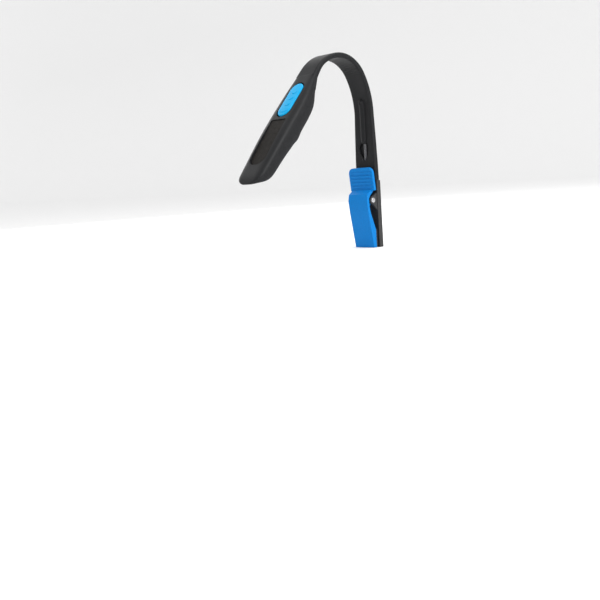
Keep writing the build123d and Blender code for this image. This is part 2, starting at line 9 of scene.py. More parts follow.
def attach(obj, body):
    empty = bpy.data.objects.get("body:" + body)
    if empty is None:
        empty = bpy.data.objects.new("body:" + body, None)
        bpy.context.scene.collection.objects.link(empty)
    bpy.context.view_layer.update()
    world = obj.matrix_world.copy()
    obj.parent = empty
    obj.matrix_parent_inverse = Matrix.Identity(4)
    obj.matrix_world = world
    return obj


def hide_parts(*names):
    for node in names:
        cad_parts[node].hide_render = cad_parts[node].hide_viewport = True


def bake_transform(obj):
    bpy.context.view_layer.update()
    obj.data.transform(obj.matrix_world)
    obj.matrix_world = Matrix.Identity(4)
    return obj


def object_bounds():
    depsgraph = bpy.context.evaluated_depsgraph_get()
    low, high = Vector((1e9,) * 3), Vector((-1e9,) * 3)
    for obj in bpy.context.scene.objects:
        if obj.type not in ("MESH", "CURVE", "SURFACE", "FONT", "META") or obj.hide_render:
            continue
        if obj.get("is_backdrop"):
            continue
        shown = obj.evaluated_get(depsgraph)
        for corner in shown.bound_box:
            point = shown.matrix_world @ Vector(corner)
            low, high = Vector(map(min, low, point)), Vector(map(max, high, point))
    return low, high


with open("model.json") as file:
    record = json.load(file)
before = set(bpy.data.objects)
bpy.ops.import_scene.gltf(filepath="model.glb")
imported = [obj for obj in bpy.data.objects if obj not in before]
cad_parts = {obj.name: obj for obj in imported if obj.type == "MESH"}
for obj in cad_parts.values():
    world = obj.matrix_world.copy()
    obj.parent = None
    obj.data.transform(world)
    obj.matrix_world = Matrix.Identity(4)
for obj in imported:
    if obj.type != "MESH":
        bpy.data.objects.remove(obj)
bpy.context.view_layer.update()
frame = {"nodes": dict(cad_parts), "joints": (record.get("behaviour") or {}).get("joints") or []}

joints = {joint["name"]: joint for joint in frame["joints"]}


# ---- Studio: a pale paper sweep, two soft boxes and the camera ----
# The lamp stands on a seamless sheet of white paper. A large soft box hangs over its left
# shoulder, a smaller one lights it from the right, and a bright room fills the shadows.

MM = 0.001
floor_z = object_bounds()[0][2] - 0.2 * MM
PAPER_REACH = 6.0
PAPER_RISE_START = 1.6
PAPER_CURVE_R = 0.8

sweep = bmesh.new()
paper_front = [sweep.verts.new((side * PAPER_REACH, -PAPER_REACH, floor_z)) for side in (-1, 1)]
paper_edge = sweep.edges.new(paper_front)
level = bmesh.ops.extrude_edge_only(sweep, edges=[paper_edge])
level_verts = [item for item in level["geom"] if isinstance(item, bmesh.types.BMVert)]
bmesh.ops.translate(sweep, verts=level_verts, vec=(0, PAPER_REACH + PAPER_RISE_START, 0))
level_edge = [item for item in level["geom"] if isinstance(item, bmesh.types.BMEdge) and all(v in level_verts for v in item.verts)]
bend = bmesh.ops.spin(
    sweep, geom=level_edge + level_verts, cent=(0, PAPER_RISE_START, floor_z + PAPER_CURVE_R), axis=(1, 0, 0),
    angle=math.pi / 2, steps=24,
)
bend_edges = [item for item in bend["geom_last"] if isinstance(item, bmesh.types.BMEdge)]
wall = bmesh.ops.extrude_edge_only(sweep, edges=bend_edges)
wall_verts = [item for item in wall["geom"] if isinstance(item, bmesh.types.BMVert)]
bmesh.ops.translate(sweep, verts=wall_verts, vec=(0, 0, PAPER_REACH))
bmesh.ops.recalc_face_normals(sweep, faces=sweep.faces)
paper_mesh = bpy.data.meshes.new("paper_sweep")
sweep.to_mesh(paper_mesh)
paper_mesh.shade_smooth()
paper = bpy.data.objects.new("paper_sweep", paper_mesh)
bpy.context.collection.objects.link(paper)
paper_matt = bpy.data.materials.new("white_paper")
paper_matt.use_nodes = True
paper_matt.node_tree.nodes["Principled BSDF"].inputs["Base Color"].default_value = (0.88, 0.88, 0.88, 1)
paper_matt.node_tree.nodes["Principled BSDF"].inputs["Roughness"].default_value = 0.9
paper.data.materials.append(paper_matt)
paper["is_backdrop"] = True

lowest, highest = (Vector(corner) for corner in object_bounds())
middle = (lowest + highest) / 2


def soft_box(name, azimuth, elevation, distance, width, power):
    """A square soft light aimed at the middle of the lamp."""
    lamp = bpy.data.lights.new(name, "AREA")
    lamp.size = width
    lamp.energy = power
    holder = bpy.data.objects.new(name, lamp)
    turn = Matrix.Rotation(math.radians(azimuth), 4, "Z") @ Matrix.Rotation(math.radians(-elevation), 4, "X")
    holder.location = middle + turn @ Vector((0, -distance, 0))
    holder.rotation_euler = (middle - holder.location).to_track_quat("-Z", "Y").to_euler()
    bpy.context.collection.objects.link(holder)


soft_box("left_box", -112, 16, 0.9, 0.6, 2.6)
soft_box("overhead_box", 165, 72, 1.0, 0.6, 4.0)
soft_box("right_box", 92, 30, 0.9, 0.3, 5.0)

room = bpy.data.worlds.new("bright_room")
room.use_nodes = True
room.node_tree.nodes["Background"].inputs["Color"].default_value = (1, 1, 1, 1)
room.node_tree.nodes["Background"].inputs["Strength"].default_value = 1.0
bpy.context.scene.world = room
bpy.context.scene.view_settings.view_transform = "Standard"

camera = bpy.data.cameras.new("camera")
camera.lens = 52.5
camera.clip_start = 0.01
eye = bpy.data.objects.new("camera", camera)
eye.location = (0.4774, -0.5089, 0.0560)
aim = Vector((-0.03654, -0.04448, -0.04470))
look = (aim - eye.location).to_track_quat("-Z", "Y").to_matrix().to_4x4()
eye.rotation_euler = (look @ Matrix.Rotation(math.radians(-3.854), 4, "Z")).to_euler()
bpy.context.collection.objects.link(eye)
bpy.context.scene.camera = eye


# ---- Leg cover: the soft sleeve that rises from the clip to the neck ----
# Black soft-touch rubber moulded over the frame's steel tongue. It tapers from the clip up
# to the neck's width, and a drop-shaped window in its front shows the coil on the gooseneck.

LEG_TOP = 97.2
LEG_CENTRE_Y = 3.0
NECK_ARCS = [(60.0, 30.0), (26.5, 60.0), (32.0, 48.0)]
NECK_TAIL = 14.5
STRAP_W = 18.5
STRAP_T = 3.9
LEG_FOOT = -51.2
LEG_WIDTHS = [(LEG_FOOT, 21.7), (-39.0, 21.3), (-21.0, 20.2), (0.0, 18.5), (80.0, 18.5), (92.5, 19.5), (95.0, 19.5)]
LEG_THICKNESS = [(LEG_FOOT, 4.8), (-39.0, 4.7), (-12.0, 4.2), (0.0, 3.9), (100.0, 3.9)]
STRAP_EDGE_R = 1.5
STRAP_HOLLOW = 0.28
WINDOW_TOP_S = -26.2
WINDOW_R = 5.2
WINDOW_TIP_S = -35.6
WINDOW_DEPTH = 1.9


def run_frame(s):
    """Place on the lamp's spine at run s: x across, y outwards from the bend, z along."""
    place = Matrix.Translation((0, LEG_CENTRE_Y, LEG_TOP + min(s, 0)))
    left = max(s, 0)
    for radius, sweep_angle in NECK_ARCS:
        length = radius * math.radians(sweep_angle)
        turn = Matrix.Rotation(min(left, length) / radius, 4, "X")
        place = place @ Matrix.Translation((0, -radius, 0)) @ turn @ Matrix.Translation((0, radius, 0))
        left = max(left - length, 0)
    return place @ Matrix.Translation((0, 0, left))


def along(profile, s):
    """The value of a stepped profile at s, in straight lines between its points."""
    for (start, low), (end, high) in zip(profile, profile[1:]):
        if s <= end:
            return low + (high - low) * max(s - start, 0) / (end - start)
    return profile[-1][1]


def verts_of(geom):
    return [item for item in geom if isinstance(item, bmesh.types.BMVert)]


def edges_of(geom):
    return [item for item in geom if isinstance(item, bmesh.types.BMEdge)]


def carry(bm, stations):
    """Sweeps the one closed outline in bm through the stations and closes both ends."""
    outline = list(bm.edges)
    if not bm.faces:
        bmesh.ops.contextual_create(bm, geom=outline)
    bmesh.ops.transform(bm, matrix=stations[0], verts=bm.verts)
    rings = [list(bm.verts)]
    for before, after in zip(stations, stations[1:]):
        geom = bmesh.ops.extrude_edge_only(bm, edges=outline)["geom"]
        ring = verts_of(geom)
        bmesh.ops.transform(bm, matrix=after @ before.inverted(), verts=ring)
        outline = [edge for edge in edges_of(geom) if all(vert in ring for vert in edge.verts)]
        rings.append(ring)
    bmesh.ops.contextual_create(bm, geom=outline)
    bmesh.ops.recalc_face_normals(bm, faces=bm.faces)
    return rings


def finished(bm, name, place=Matrix.Identity(4), material=None, smooth_angle=40):
    """Turns a bmesh made in millimetres into an object in metres, smooth but for its corners."""
    bm.transform(Matrix.Scale(MM, 4) @ place)
    mesh = bpy.data.meshes.new(name)
    bm.to_mesh(mesh)
    bm.free()
    mesh.shade_smooth()
    mesh.set_sharp_from_angle(angle=math.radians(smooth_angle))
    piece = bpy.data.objects.new(name, mesh)
    bpy.context.collection.objects.link(piece)
    if material:
        mesh.materials.append(material)
    return piece


def grained(name, dark, light, roughness, grain, bump, patch=60.0, metallic=0.0, spread=0.08, **shader):
    """A moulded or worked finish: grain in colour and height, and slow patches of wear in gloss."""
    material = bpy.data.materials.new(name)
    material.use_nodes = True
    nodes, links = material.node_tree.nodes, material.node_tree.links
    surface = nodes["Principled BSDF"]
    surface.inputs["Metallic"].default_value = metallic
    for socket, value in shader.items():
        surface.inputs[socket.replace("_", " ")].default_value = value
    where = nodes.new("ShaderNodeTexCoord").outputs["Object"]
    fine = nodes.new("ShaderNodeTexNoise")
    fine.inputs["Scale"].default_value = grain
    fine.inputs["Detail"].default_value = 4.0
    slow = nodes.new("ShaderNodeTexNoise")
    slow.inputs["Scale"].default_value = patch
    slow.inputs["Detail"].default_value = 3.0
    links.new(where, fine.inputs["Vector"])
    links.new(where, slow.inputs["Vector"])
    tone = nodes.new("ShaderNodeValToRGB")
    tone.color_ramp.elements[0].position = 0.35
    tone.color_ramp.elements[0].color = (*dark, 1)
    tone.color_ramp.elements[1].position = 0.65
    tone.color_ramp.elements[1].color = (*light, 1)
    links.new(fine.outputs["Fac"], tone.inputs["Fac"])
    links.new(tone.outputs["Color"], surface.inputs["Base Color"])
    gloss = nodes.new("ShaderNodeMapRange")
    gloss.inputs["From Min"].default_value = 0.3
    gloss.inputs["From Max"].default_value = 0.7
    gloss.inputs["To Min"].default_value = roughness - spread
    gloss.inputs["To Max"].default_value = roughness + spread
    links.new(slow.outputs["Fac"], gloss.inputs["Value"])
    links.new(gloss.outputs["Result"], surface.inputs["Roughness"])
    relief = nodes.new("ShaderNodeBump")
    relief.inputs["Strength"].default_value = bump
    relief.inputs["Distance"].default_value = 0.05 * MM
    links.new(fine.outputs["Fac"], relief.inputs["Height"])
    links.new(relief.outputs["Normal"], surface.inputs["Normal"])
    return material


def carve(piece, tool, how="DIFFERENCE"):
    """Cuts or joins one finished piece with another, which is used up."""
    cut = piece.modifiers.new("cut", "BOOLEAN")
    cut.object = tool
    cut.operation = how
    cut.solver = "EXACT"
    settle(piece)
    bpy.data.objects.remove(tool)
    return piece


def settle(piece):
    """Makes a piece's modifiers part of its mesh."""
    bpy.context.view_layer.update()
    evaluated = piece.evaluated_get(bpy.context.evaluated_depsgraph_get())
    settled = bpy.data.meshes.new_from_object(evaluated)
    piece.modifiers.clear()
    piece.data = settled
    return piece


def eased(piece, width, segments=3, angle=35):
    """Rounds the piece's hard edges and keeps its flats flat."""
    edge = piece.modifiers.new("eased_edges", "BEVEL")
    edge.width = width * MM
    edge.segments = segments
    edge.limit_method = "ANGLE"
    edge.angle_limit = math.radians(angle)
    edge.harden_normals = True
    return settle(piece)


def strap_section(width, thick, edge_r, hollow):
    """Cross-section of the strap: round edges, and a shallow hollow down the inner face."""
    bm = bmesh.new()
    bmesh.ops.create_grid(bm, x_segments=1, y_segments=1, size=0.5)
    bmesh.ops.scale(bm, vec=(width, thick, 1), verts=bm.verts)
    bmesh.ops.bevel(bm, geom=bm.verts, offset=edge_r, segments=6, profile=0.5, affect="VERTICES", material=-1)
    bmesh.ops.delete(bm, geom=list(bm.faces), context="FACES_ONLY")
    long_edges = [edge for edge in bm.edges if edge.calc_length() > width / 2]
    bmesh.ops.subdivide_edges(bm, edges=long_edges, cuts=15)
    flat = width / 2 - edge_r
    for vert in bm.verts:
        if vert.co.y < 0 and abs(vert.co.x) < flat:
            vert.co.y += hollow * (1 - (vert.co.x / flat) ** 2) ** 2
    return bm


def strap_stations(start, end, pitch, tuck_start, tuck_end):
    """Places along the spine, with the ends that slip under a neighbour drawn in a little."""
    TUCK = 0.03
    count = math.ceil((end - start) / pitch)
    runs = [start + (end - start) * i / count for i in range(count + 1)]
    if tuck_start:
        runs.insert(0, start - 1.0)
    if tuck_end:
        runs.append(end + 1.0)
    stations = []
    for s in runs:
        drawn_in = TUCK if not start <= s <= end else 0.0
        wide = (along(LEG_WIDTHS, s) - 2 * drawn_in) / STRAP_W
        thick = (along(LEG_THICKNESS, s) - 2 * drawn_in) / STRAP_T
        stations.append(run_frame(s) @ Matrix.Diagonal((wide, thick, 1, 1)))
    return runs, stations


soft_touch = grained(
    "soft_touch_black", (0.0105, 0.0108, 0.0118), (0.0125, 0.0128, 0.014), 0.5, 900.0, 0.06, patch=55.0,
    spread=0.03, Specular_IOR_Level=0.15,
)

leg_section = strap_section(STRAP_W, STRAP_T, STRAP_EDGE_R, STRAP_HOLLOW)
SEAM_1 = 4.0
_, leg_stations = strap_stations(LEG_FOOT, SEAM_1, 1.0, False, True)
carry(leg_section, leg_stations)
leg_cover = finished(leg_section, "leg_cover", material=soft_touch)

drop = bmesh.new()
bmesh.ops.create_circle(drop, cap_ends=True, segments=48, radius=WINDOW_R)
drop_reach = WINDOW_TOP_S - WINDOW_TIP_S
for vert in drop.verts:
    low = max(-vert.co.y / WINDOW_R, 0)
    vert.co.y -= (drop_reach - WINDOW_R) * low ** 2.2
    vert.co.x *= 1 - 0.72 * low ** 3 * (1 - 0.3 * low)
bmesh.ops.rotate(drop, verts=drop.verts, matrix=Matrix.Rotation(math.pi / 2, 3, "X"))
thickness = bmesh.ops.extrude_face_region(drop, geom=drop.faces)
bmesh.ops.translate(drop, verts=verts_of(thickness["geom"]), vec=(0, -10, 0))
bmesh.ops.recalc_face_normals(drop, faces=drop.faces)
window_depth = Matrix.Translation((0, WINDOW_DEPTH - along(LEG_THICKNESS, WINDOW_TOP_S) / 2, 0))
window_tool = finished(drop, "window_tool", run_frame(WINDOW_TOP_S) @ window_depth)
carve(leg_cover, window_tool)
eased(leg_cover, 0.3, segments=3, angle=50)
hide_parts("base_overmould")
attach(leg_cover, "base")


# ---- Rib: the raised bead down the front of the leg and lower neck ----
# The rubber swells into a half-round bead where it passes over the steel gooseneck. It
# fades into the neck under a small round dimple, and follows the neck's curve.

RIB_W = 5.4
RIB_PROUD = 1.5
RIB_FOOT = -22.6
RIB_TOP = 12.6
RIB_END = 3.4

rib = bmesh.new()
bmesh.ops.create_circle(rib, segments=40, radius=1.0)
rib_runs = [RIB_FOOT + (RIB_TOP - RIB_FOOT) * i / 72 for i in range(73)]
rib_stations = []
for s in rib_runs:
    from_end = min(s - RIB_FOOT, RIB_TOP - s) / RIB_END
    swell = math.sqrt(max(1 - (1 - min(from_end, 1)) ** 2, 0.0004))
    front = Matrix.Translation((0, STRAP_HOLLOW - along(LEG_THICKNESS, s) / 2, 0))
    girth = Matrix.Diagonal((RIB_W / 2 * swell, (RIB_PROUD + STRAP_HOLLOW) * swell, 1, 1))
    rib_stations.append(run_frame(s) @ front @ girth)
rib_rings = carry(rib, rib_stations)
DIMPLE_S = 9.2
DIMPLE_R = 1.5
for s, ring in zip(rib_runs, rib_rings):
    for vert in ring:
        local = run_frame(s).inverted() @ vert.co
        reach = math.hypot(local.x, s - DIMPLE_S) / DIMPLE_R
        if reach < 1 and local.y < -STRAP_T / 2:
            local.y += 0.75 * (1 - reach ** 2) ** 2
            vert.co = run_frame(s) @ local
leg_rib = finished(rib, "leg_rib", material=soft_touch, smooth_angle=70)
hinge_runs = [15.0, 37.0, 59.0, 81.0]
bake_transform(leg_rib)


# ---- Neck: a flat rubber strap over the gooseneck, bent into an arch ----
# Each length of strap bends over one joint of the gooseneck and slips a little way under
# the next. The rubber puckers on the inside where the arch is tightest.

PUCKER = (29.0, 47.0)
PUCKER_PITCH = 1.9
PUCKER_DEPTH = 0.16
BELLY_START = 79.0
BELLY_DEPTH = 1.4
SEAMS = [SEAM_1, 26.0, 48.0, 70.0, 92.45]

for i, hinge in enumerate(hinge_runs):
    start, end = SEAMS[i], SEAMS[i + 1]
    section = strap_section(STRAP_W, STRAP_T, STRAP_EDGE_R, STRAP_HOLLOW)
    runs, stations = strap_stations(start, end, 0.38, True, True)
    rings = carry(section, stations)
    for s, ring in zip(runs, rings):
        into = (s - PUCKER[0]) / (PUCKER[1] - PUCKER[0])
        fade = math.sin(math.pi * into) ** 1.5 if 0 < into < 1 else 0
        belly = BELLY_DEPTH * max((s - BELLY_START) / (SEAMS[-1] - BELLY_START), 0) ** 1.6
        spine = run_frame(s)
        for vert in ring:
            local = spine.inverted() @ vert.co
            if local.y < 0:
                wander = 0.5 * math.sin(local.x * 0.55 + s) + 0.25 * math.sin(local.x * 1.3)
                fold = math.sin(2 * math.pi * (s + wander) / PUCKER_PITCH)
                inward = min(-local.y / (STRAP_T / 2), 1)
                local.y += PUCKER_DEPTH * fade * fold * inward - belly * inward
                vert.co = spine @ local
    skin = finished(section, f"strap_skin_{i + 1}", material=soft_touch, smooth_angle=70)
    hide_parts(f"neck_sleeve_{i + 1}")
    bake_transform(skin)


# ---- Gooseneck core: the round steel that holds the neck's shape ----
# A wound steel flex of 2.2 mm runs inside the strap from the frame's tongue to the ferrule
# in the head. It follows the strap's curve.

CORE_R = 1.1
CORE_FOOT = -35.6

core_steel = grained(
    "gooseneck_steel", (0.34, 0.34, 0.35), (0.48, 0.48, 0.5), 0.34, 1800.0, 0.2, metallic=1.0,
)

for i in range(5):
    start = CORE_FOOT if i == 0 else SEAMS[i - 1]
    end = SEAMS[i]
    core = bmesh.new()
    bmesh.ops.create_circle(core, segments=20, radius=CORE_R)
    count = math.ceil(end - start)
    carry(core, [run_frame(start + (end - start) * step / count) for step in range(count + 1)])
    core_run = finished(core, f"core_run_{i}", material=core_steel)
    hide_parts(f"neck_core_{i}")
    if i == 0:
        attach(core_run, "base")
    else:
        hinge = hinge_runs[i - 1]
        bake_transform(core_run)


# ---- Clip body: the moulded frame that lies flat behind the page ----
# Glass-filled nylon, black and faintly textured. Its two ears carry the hinge pin, and its
# tongue runs up inside the leg's rubber.

DISSOLVE_ANGLE = math.radians(0.5)
DOUBLES = 2e-6


def softened(node, name, ease, material, body, angle=30):
    """A copy of a CAD part with its moulded or pressed edges rounded."""
    bm = bmesh.new()
    bm.from_mesh(frame["nodes"][node].data)
    bmesh.ops.remove_doubles(bm, verts=bm.verts, dist=DOUBLES)
    bmesh.ops.dissolve_limit(bm, angle_limit=DISSOLVE_ANGLE, verts=bm.verts, edges=bm.edges)
    piece = finished(bm, name, Matrix.Scale(1 / MM, 4), material)
    eased(piece, ease, angle=angle)
    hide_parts(node)
    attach(piece, body)
    return piece


frame_nylon = grained(
    "frame_nylon", (0.012, 0.0122, 0.013), (0.018, 0.0182, 0.019), 0.5, 1100.0, 0.16, patch=120.0, spread=0.05,
)
softened("base_frame", "clip_frame", 0.6, frame_nylon, "base")


# ---- Strain spring: the close-wound coil round the foot of the gooseneck ----
# A sleeve of 0.7 mm spring wire wound touching, so the gooseneck bends gradually where it
# leaves the frame. It shows in the leg's drop-shaped window.

COIL_MEAN_R = 1.5
COIL_WIRE_R = 0.36
COIL_FOOT_S = -35.4
COIL_TOP_S = -21.6

spring_steel = grained(
    "spring_wire", (0.1, 0.1, 0.105), (0.2, 0.2, 0.21), 0.22, 2200.0, 0.1, metallic=1.0, spread=0.06,
)


def wound(radius, wire_r, pitch, turns, steps, wire_sides=8):
    """A coil of wire wound round z from the origin upwards."""
    bm = bmesh.new()
    bmesh.ops.create_circle(bm, segments=wire_sides, radius=wire_r)
    upright = Matrix.Rotation(math.pi / 2, 4, "X")
    bmesh.ops.transform(bm, matrix=Matrix.Translation((radius, 0, 0)) @ upright, verts=bm.verts)
    start = bmesh.ops.contextual_create(bm, geom=bm.edges)["faces"]
    total = round(turns * steps)
    end = bmesh.ops.spin(
        bm, geom=start, cent=(0, 0, 0), axis=(0, 0, 1), dvec=(0, 0, pitch / steps),
        angle=2 * math.pi * turns, steps=total,
    )
    bmesh.ops.recalc_face_normals(bm, faces=bm.faces)
    return bm


coil_turns = (COIL_TOP_S - COIL_FOOT_S) / (2 * COIL_WIRE_R)
sleeve_coil = wound(COIL_MEAN_R, COIL_WIRE_R, 2 * COIL_WIRE_R, coil_turns, 20)
strain_coil = finished(sleeve_coil, "strain_coil", run_frame(COIL_FOOT_S), spring_steel)
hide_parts("strain_spring")
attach(strain_coil, "base")


# ---- Hinge pin and torsion spring ----
# A riveted steel pin runs through the ears. The spring winds round it, with one leg flat on
# the frame and the other behind the lever's tab; this coil is built at rest and does not follow the tab.

pivot = Vector(joints["clip_hinge"]["pos_m"]) / MM
PIN_SHANK_R = 1.25
PIN_HEAD_R = 2.05
PIN_HEAD_T = 0.8
EAR_FACE_X = 10.6
WIRE_R = 0.45
WIND_R = 2.65
WIND_W = 8.0
WIND_TURNS = 8

pin_steel = grained(
    "pin_steel", (0.42, 0.42, 0.43), (0.6, 0.6, 0.61), 0.24, 1500.0, 0.08, metallic=1.0, spread=0.05,
)
pin = bmesh.new()
bmesh.ops.create_circle(pin, cap_ends=True, segments=40, radius=PIN_HEAD_R)
bmesh.ops.translate(pin, verts=pin.verts, vec=(0, 0, EAR_FACE_X))
head_rise = bmesh.ops.extrude_face_region(pin, geom=list(pin.faces))
bmesh.ops.translate(pin, verts=verts_of(head_rise["geom"]), vec=(0, 0, PIN_HEAD_T))
rim = [edge for edge in pin.edges if all(vert.co.z > EAR_FACE_X + PIN_HEAD_T / 2 for vert in edge.verts)]
bmesh.ops.bevel(pin, geom=rim, offset=0.6, segments=6, profile=0.5, affect="EDGES", material=-1)
under = min(pin.faces, key=lambda face: face.calc_center_median().z)
bmesh.ops.inset_region(pin, faces=[under], thickness=PIN_HEAD_R - PIN_SHANK_R)
shank = bmesh.ops.extrude_face_region(pin, geom=[under])
bmesh.ops.delete(pin, geom=[under], context="FACES_ONLY")
bmesh.ops.translate(pin, verts=verts_of(shank["geom"]), vec=(0, 0, -EAR_FACE_X))
middle_face = [item for item in shank["geom"] if isinstance(item, bmesh.types.BMFace)]
bmesh.ops.delete(pin, geom=middle_face, context="FACES_ONLY")
bmesh.ops.mirror(pin, geom=list(pin.verts) + list(pin.edges) + list(pin.faces), axis="Z", merge_dist=0.001)
bmesh.ops.recalc_face_normals(pin, faces=pin.faces)
across = Matrix.Rotation(math.pi / 2, 4, "Y")
hinge_pin = finished(pin, "hinge_pin", Matrix.Translation(pivot) @ across, pin_steel, smooth_angle=50)
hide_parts("pivot_pin")
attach(hinge_pin, "base")

LEG_LIFT = {1: (1.47, 10.0), -1: (-0.0, 12.0)}
wire = bmesh.new()
bmesh.ops.create_circle(wire, segments=10, radius=WIRE_R)
leg_rise = [10.0, 7.0, 4.0, 1.5, 0.0]
rear_lean, front_lean = 0.165, 0.012
half_wind = WIND_W / 2
wire_path = [Vector((half_wind, WIND_R + rear_lean * rise, rise)) for rise in leg_rise]
wire_steps = WIND_TURNS * 28
for step in range(1, wire_steps):
    turned = 2 * math.pi * WIND_TURNS * step / wire_steps
    x = half_wind - WIND_W * step / wire_steps
    wire_path.append(Vector((x, WIND_R * math.cos(turned), -WIND_R * math.sin(turned))))
wire_path += [Vector((-half_wind, WIND_R + front_lean * rise, rise)) for rise in (0.0, 2.0, 5.0, 9.0, 12.0)]
wire_stations = []
for before, spot, after in zip([wire_path[0]] + wire_path, wire_path, wire_path[1:] + [wire_path[-1]]):
    heading = (after - before).normalized()
    wire_stations.append(Matrix.Translation(spot) @ heading.to_track_quat("Z", "X").to_matrix().to_4x4())
carry(wire, wire_stations)
torsion_coil = finished(wire, "torsion_coil", Matrix.Translation(pivot), spring_steel)
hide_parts("torsion_spring")
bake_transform(torsion_coil)


# ---- Lever: the blue squeeze tab and lower jaw in one moulding ----
# Blue ABS with a fine satin texture. Six rounded ridges cross the thumb tab, and the arm
# bows out round the spring and comes back to the page at the jaw.

lever_blue = grained(
    "lever_blue", (0.0, 0.16, 0.48), (0.0, 0.175, 0.52), 0.45, 800.0, 0.05, patch=70.0, spread=0.04,
    Specular_IOR_Level=0.12,
)
softened("clip_lever", "squeeze_lever", 0.4, lever_blue, "lever")


# ---- Jaw pads: the two grooved rubber grips ----
# Dark grey rubber strips bonded inside the jaws. Their grooves keep hold of a smooth cover.

pad_rubber = grained(
    "pad_rubber", (0.03, 0.03, 0.031), (0.045, 0.045, 0.046), 0.75, 1400.0, 0.3, patch=200.0,
)
softened("rear_jaw_pad", "rear_grip_pad", 0.12, pad_rubber, "base")
softened("front_jaw_pad", "front_grip_pad", 0.12, pad_rubber, "lever")


# ---- Head shells: the moulded top cover and the lower shell ----
# Two black satin shells meet on a line below the head's widest part. The cover carries the
# button and the grip panel, and the lower shell the battery well and the light.

head_place = run_frame(100.0 + 0.48)
SHELL_WALL = 1.5
HEAD_RUNS = [
    (-8.0, 9.9, 2.0, -3.4), (-7.6, 9.95, 2.0, -3.5), (-4.0, 10.5, 2.0, -4.9), (0.0, 11.2, 2.0, -6.2),
    (5.0, 12.1, 2.0, -8.2), (10.0, 12.9, 2.0, -10.9), (15.0, 13.4, 2.0, -12.3), (22.0, 13.75, 2.0, -12.75),
    (30.0, 14.0, 2.0, -12.8), (36.5, 14.05, 2.0, -12.8), (39.5, 14.05, 2.0, -13.6), (43.0, 14.05, 2.0, -13.8),
    (46.5, 14.0, 1.85, -12.7), (50.0, 13.95, 1.75, -12.5), (60.0, 13.6, 1.3, -11.6),
    (70.0, 13.1, 0.75, -11.45), (76.0, 12.85, 0.4, -11.4), (80.5, 12.6, 0.15, -10.4), (84.0, 12.1, 0.0, -8.2),
    (86.8, 11.0, -0.3, -5.7), (88.8, 9.1, -0.8, -4.1), (90.2, 6.4, -1.3, -3.1), (90.7, 3.6, -1.7, -2.6),
]
HEAD_SECTION = [
    (0.0, 1.0), (0.35, 1.0), (0.66, 1.0), (0.86, 0.95), (0.97, 0.82), (1.0, 0.6),
    (1.0, 0.3), (0.95, 0.1), (0.82, 0.0), (0.45, 0.0), (0.0, 0.0),
]
SHELL_LINE = [(1.0, -3.6), (10.0, -6.1), (20.0, -7.2), (74.0, -7.5), (81.0, -5.6), (87.0, -2.4), (94.0, -1.5)]


def head_body(name, side_in, top_in, bottom_in, start=-20.0, end=120.0):
    """The head's rounded form, or the same form drawn in, between two runs."""
    right = [(x, y) for x, y in HEAD_SECTION]
    left = [(-x, y) for x, y in reversed(HEAD_SECTION[1:-1])]
    bm = bmesh.new()
    corners = [bm.verts.new((x, y, 0)) for x, y in right + left]
    for first, second in zip(corners, corners[1:] + corners[:1]):
        bm.edges.new((first, second))
    stations = []
    for u, half, top, bottom in HEAD_RUNS:
        if start <= u <= end:
            height = top - top_in - bottom - bottom_in
            low = Matrix.Translation((0, bottom + bottom_in, u))
            stations.append(low @ Matrix.Diagonal((half - side_in, height, 1, 1)))
    carry(bm, stations)
    form = finished(bm, name, head_place)
    smooth = form.modifiers.new("rounded_form", "SUBSURF")
    smooth.levels = 3
    smooth.render_levels = 3
    return settle(form)


def head_block(name, low, high):
    """A box in the head's own directions: across, out of the top, and along."""
    bm = bmesh.new()
    bmesh.ops.create_cube(bm, size=1.0)
    bmesh.ops.scale(bm, vec=[far - near for near, far in zip(low, high)], verts=bm.verts)
    bmesh.ops.translate(bm, vec=[(near + far) / 2 for near, far in zip(low, high)], verts=bm.verts)
    return finished(bm, name, head_place)


def head_disc(name, along_run, across_run, low, high, radius, sides=64, top_radius=None):
    """A round plug standing out of the head's top or underside."""
    bm = bmesh.new()
    wide = radius if top_radius is None else top_radius
    bmesh.ops.create_cone(bm, cap_ends=True, segments=sides, radius1=radius, radius2=wide, depth=high - low)
    bmesh.ops.rotate(bm, verts=bm.verts, matrix=Matrix.Rotation(-math.pi / 2, 3, "X"))
    bmesh.ops.translate(bm, verts=bm.verts, vec=(across_run, (low + high) / 2, along_run))
    return finished(bm, name, head_place)


def below_line(name, drop):
    """Everything under the line where the two shells meet."""
    bm = bmesh.new()
    line = [(u, v - drop) for u, v in SHELL_LINE]
    outline = [(line[0][0] + drop, -30.0)] + [(line[0][0] + drop, line[0][1])] + line[1:] + [(line[-1][0], -30.0)]
    face = bm.faces.new([bm.verts.new((-20, v, u)) for u, v in outline])
    bends = [vert for vert in bm.verts if vert.co.y > -20 and 5 < vert.co.z < 92]
    bmesh.ops.bevel(bm, geom=bends, offset=3.0, segments=6, profile=0.5, affect="VERTICES", material=-1)
    side = bmesh.ops.extrude_face_region(bm, geom=list(bm.faces))
    bmesh.ops.translate(bm, verts=verts_of(side["geom"]), vec=(40, 0, 0))
    bmesh.ops.recalc_face_normals(bm, faces=bm.faces)
    return finished(bm, name, head_place)


BUTTON_L = 30.7
BUTTON_W = 12.4
BUTTON_RUN = 16.1
BUTTON_GAP = 1.05
BUTTON_TOP = 2.5
INLAY_RUN = (34.8, 75.0)
INLAY_HALF = (7.7, 8.5)
INLAY_TOP = (1.5, -1.5)
INLAY_T = 0.7


def stadium(bm, length, width, sides=64):
    """A flat long-round outline lying in the head's top."""
    bmesh.ops.create_circle(bm, cap_ends=True, segments=sides, radius=width / 2)
    for vert in bm.verts:
        vert.co.y += math.copysign((length - width) / 2, vert.co.y)
    bmesh.ops.rotate(bm, verts=bm.verts, matrix=Matrix.Rotation(math.pi / 2, 3, "X"))


